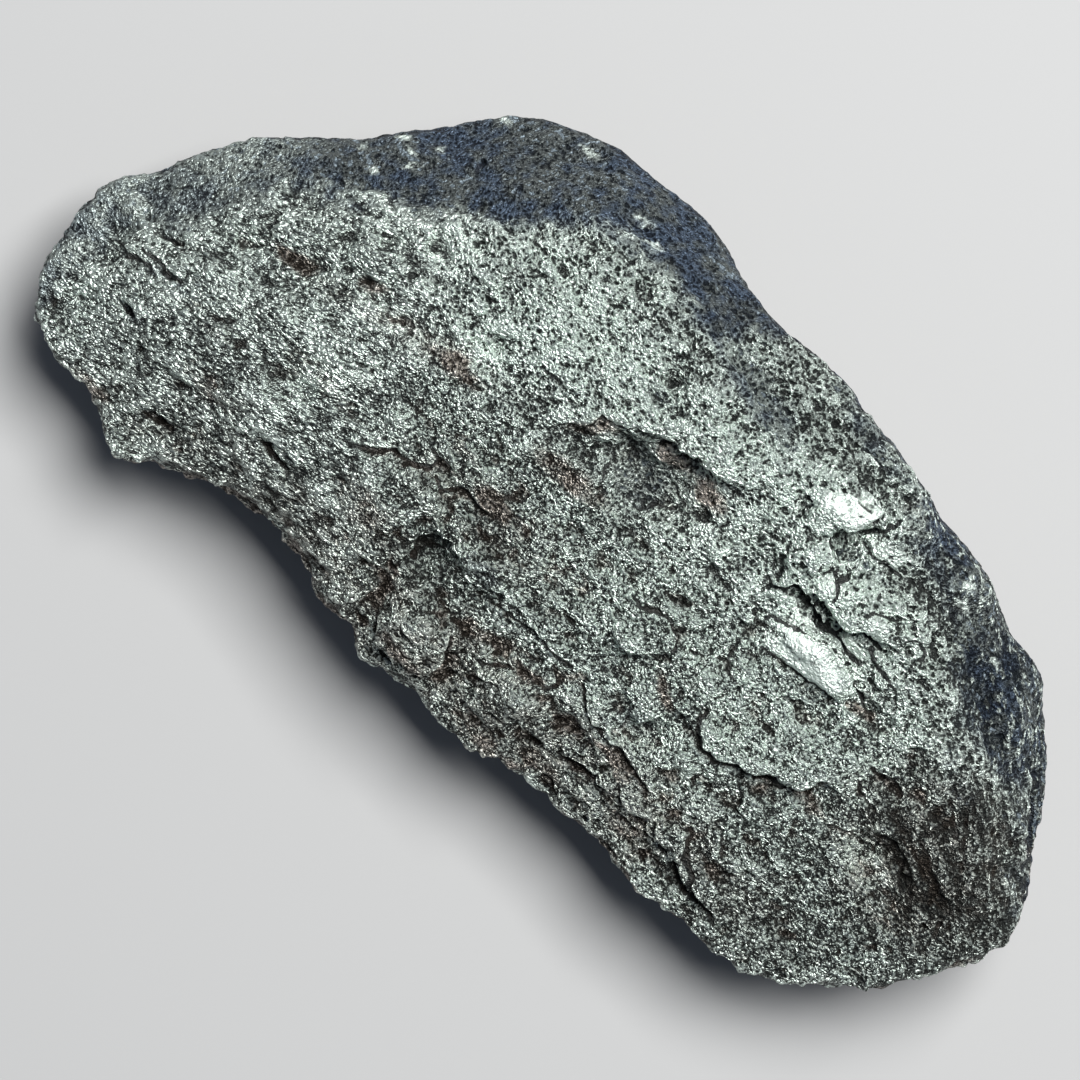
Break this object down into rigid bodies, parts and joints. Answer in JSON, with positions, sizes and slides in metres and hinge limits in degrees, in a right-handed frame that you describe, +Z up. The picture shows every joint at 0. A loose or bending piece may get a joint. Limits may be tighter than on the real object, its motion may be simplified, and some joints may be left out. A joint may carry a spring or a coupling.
{
  "type": "iron meteorite",
  "caption": "Long lump of weathered iron-nickel metal with a worn, pitted upper face, bevelled far side and thumbprinted underside; a display specimen that rests on a small flat spot.",
  "frame": {"origin": "middle of the bounding box's base, on the surface that the lump rests on", "axes": "+X along the lump towards its blunt, layered end; +Y from the thin torn rim to the high bevelled side; +Z up from the flat spot to the worn face"},
  "size_m": [0.113, 0.054, 0.0285],
  "materials": {
    "iron": "weathered bare iron, pitted, with steel-grey high points, dark pits, a blue-grey bevelled side and brown stains in the hollows"
  },
  "bodies": {
    "root": {"meteorite": "iron"}
  },
  "joints": []
}
